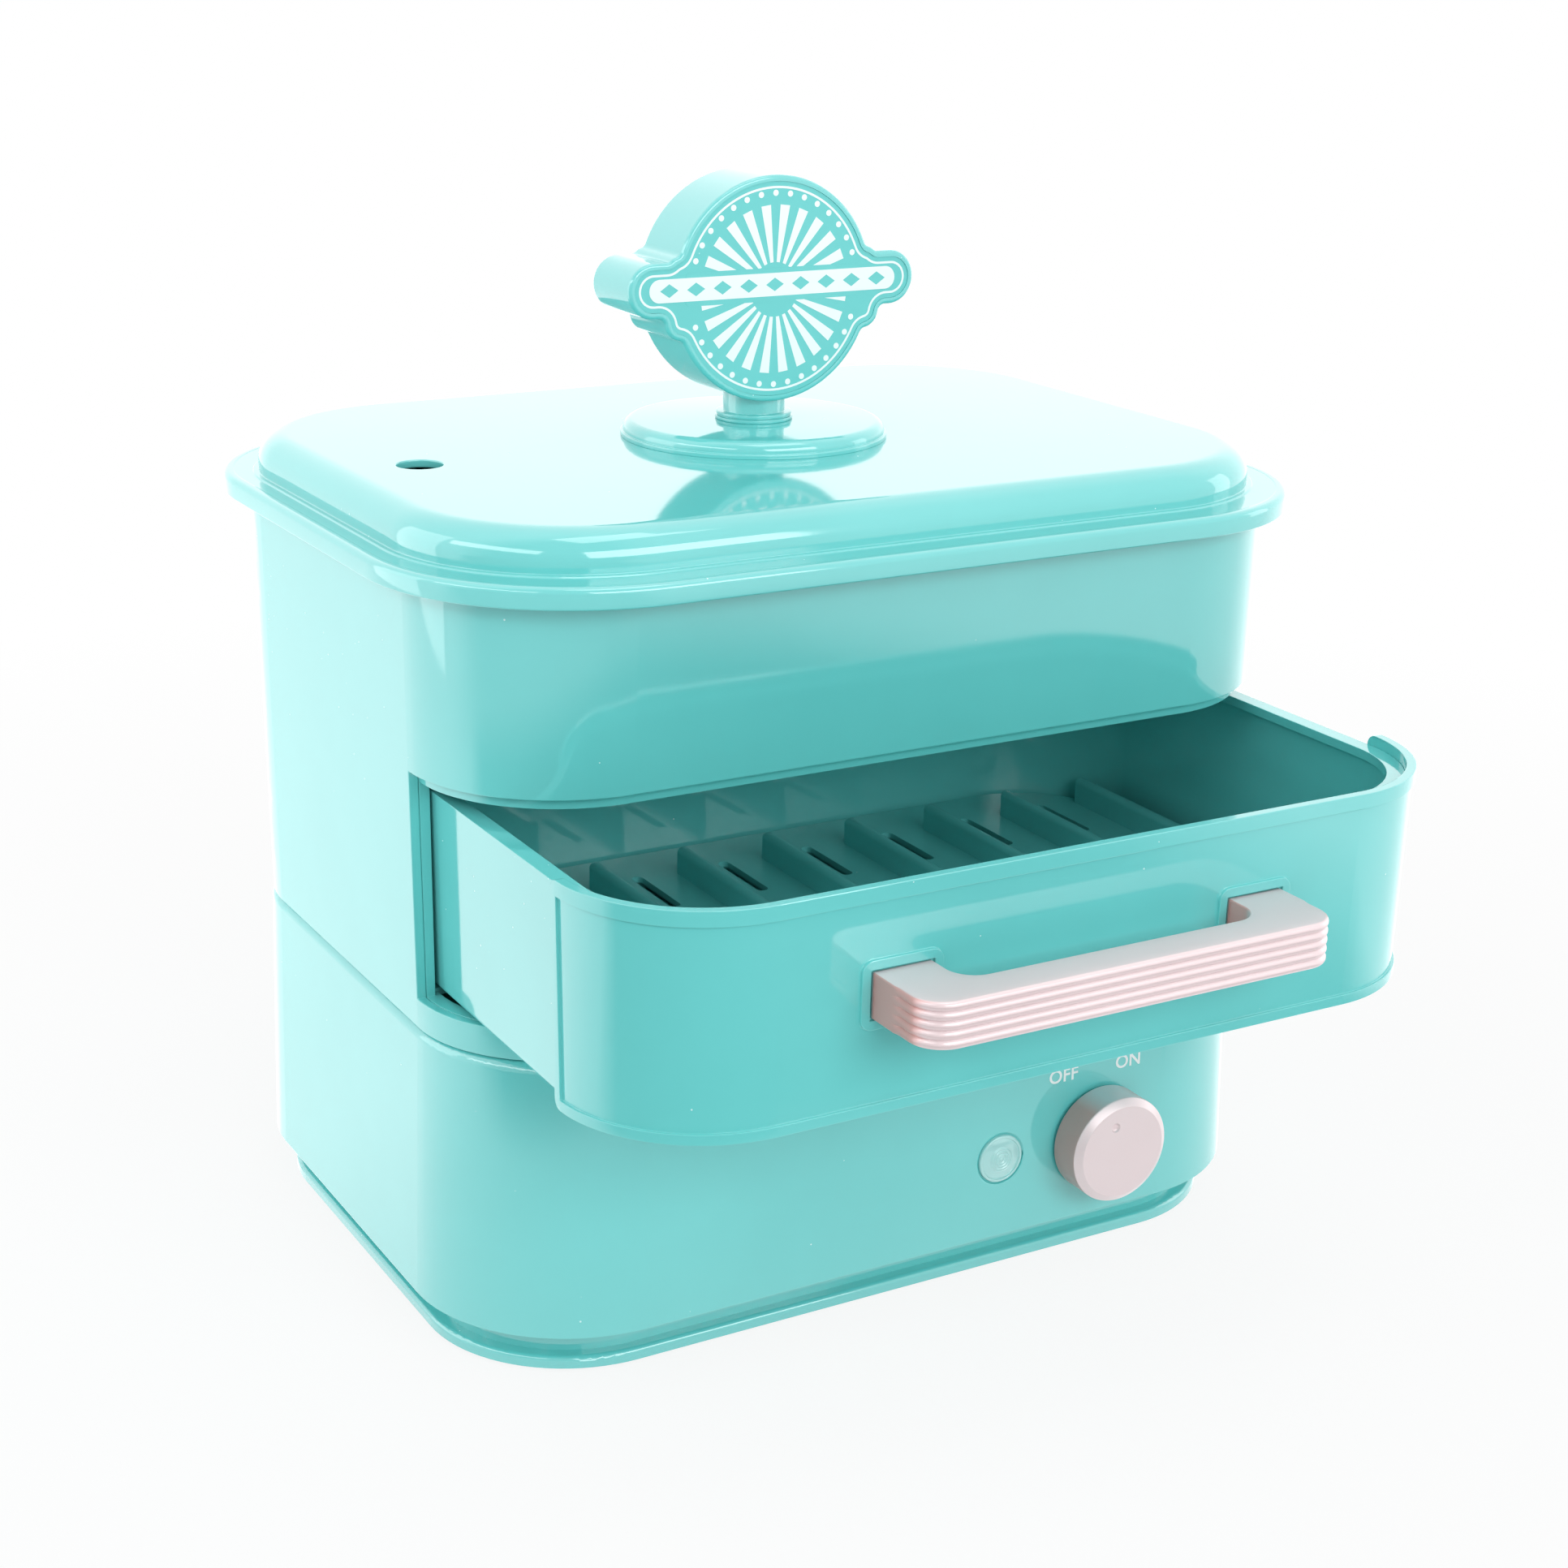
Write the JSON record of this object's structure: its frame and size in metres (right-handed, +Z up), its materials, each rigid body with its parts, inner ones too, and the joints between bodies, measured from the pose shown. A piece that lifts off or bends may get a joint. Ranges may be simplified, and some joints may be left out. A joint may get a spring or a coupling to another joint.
{
  "type": "hot dog steamer",
  "caption": "Countertop steamer: flared base with tank, heater and rotary switch, tower with a pull-out drawer, bun tray, and domed lid with a vent and a sign-shaped grip.",
  "frame": {"origin": "on the counter, under the centre of the base", "axes": "+X to the right seen from the front, +Y to the back, +Z up; the drawer opens towards -Y"},
  "size_m": [0.311, 0.3416, 0.3439],
  "materials": {
    "aqua_gloss": "gloss",
    "aqua_satin": "satin",
    "sign_print": "satin",
    "silver_paint": "satin",
    "clear_lens": "gloss",
    "lamp_glass": "gloss",
    "screw_steel": "satin",
    "tank_steel": "satin",
    "heater_aluminium": "satin",
    "element_steel": "matte",
    "black_rubber": "matte",
    "grey_silicone": "matte",
    "black_plastic": "matte",
    "white_plastic": "matte",
    "brown_wire": "satin",
    "blue_wire": "satin",
    "shaft_steel": "satin"
  },
  "bodies": {
    "base": {"base_housing": "aqua_gloss", "base_plate": "aqua_gloss", "rubber_feet": "black_rubber", "base_screws": "screw_steel", "water_tank": "tank_steel", "heater_plate": "heater_aluminium", "heater_gasket": "grey_silicone", "clamp_ring": "tank_steel", "clamp_nuts": "screw_steel", "heating_element": "element_steel", "thermostat": "black_plastic", "thermal_fuse": "white_plastic", "rotary_switch": "black_plastic", "switch_nut": "screw_steel", "indicator_lens": "clear_lens", "indicator_lamp": "lamp_glass", "lamp_sleeve": "grey_silicone", "cord_gland": "black_plastic", "terminal_block": "white_plastic", "wire_live": "brown_wire", "wire_switched": "brown_wire", "wire_fuse": "brown_wire", "wire_neutral": "blue_wire"},
    "switch_knob": {"knob": "silver_paint", "switch_shaft": "shaft_steel"},
    "drip_pan": {"drip_tray": "aqua_satin"},
    "tower": {"tower_shell": "aqua_gloss", "drawer_frame": "aqua_gloss", "left_rail": "aqua_satin", "right_rail": "aqua_satin", "rail_screws": "screw_steel"},
    "drawer": {"drawer_tray": "aqua_gloss", "hot_dog_rack": "aqua_satin", "drawer_front": "aqua_gloss", "drawer_handle": "silver_paint", "handle_screws": "screw_steel"},
    "bun_basket": {"bun_tray": "aqua_satin"},
    "lid": {"lid_shell": "aqua_gloss", "lid_disc": "aqua_gloss", "finial_stem": "aqua_gloss", "stem_collar": "aqua_gloss", "lid_washer": "screw_steel", "lid_bolt": "screw_steel", "sign_front_shell": "aqua_gloss", "sign_back_shell": "aqua_gloss", "sign_front_face": "sign_print", "sign_back_face": "sign_print"}
  },
  "joints": [
    {"name": "knob_turn", "type": "hinge", "parent": "base", "child": "switch_knob", "pos_m": [0.0696, -0.1128, 0.0431], "axis": [0, 1, 0], "range_deg": [0, 45]},
    {"name": "drip_tray_lift", "type": "slide", "parent": "base", "child": "drip_pan", "axis": [0, 0, 1], "range_m": [0, 0.05]},
    {"name": "tower_lift", "type": "slide", "parent": "drip_pan", "child": "tower", "axis": [0, 0, 1], "range_m": [0, 0.08]},
    {"name": "drawer_slide", "type": "slide", "parent": "tower", "child": "drawer", "axis": [0, -1, 0], "range_m": [-0.086, 0.05]},
    {"name": "bun_tray_lift", "type": "slide", "parent": "tower", "child": "bun_basket", "axis": [0, 0, 1], "range_m": [0, 0.08]},
    {"name": "lid_lift", "type": "slide", "parent": "bun_basket", "child": "lid", "axis": [0, 0, 1], "range_m": [0, 0.1]}
  ]
}
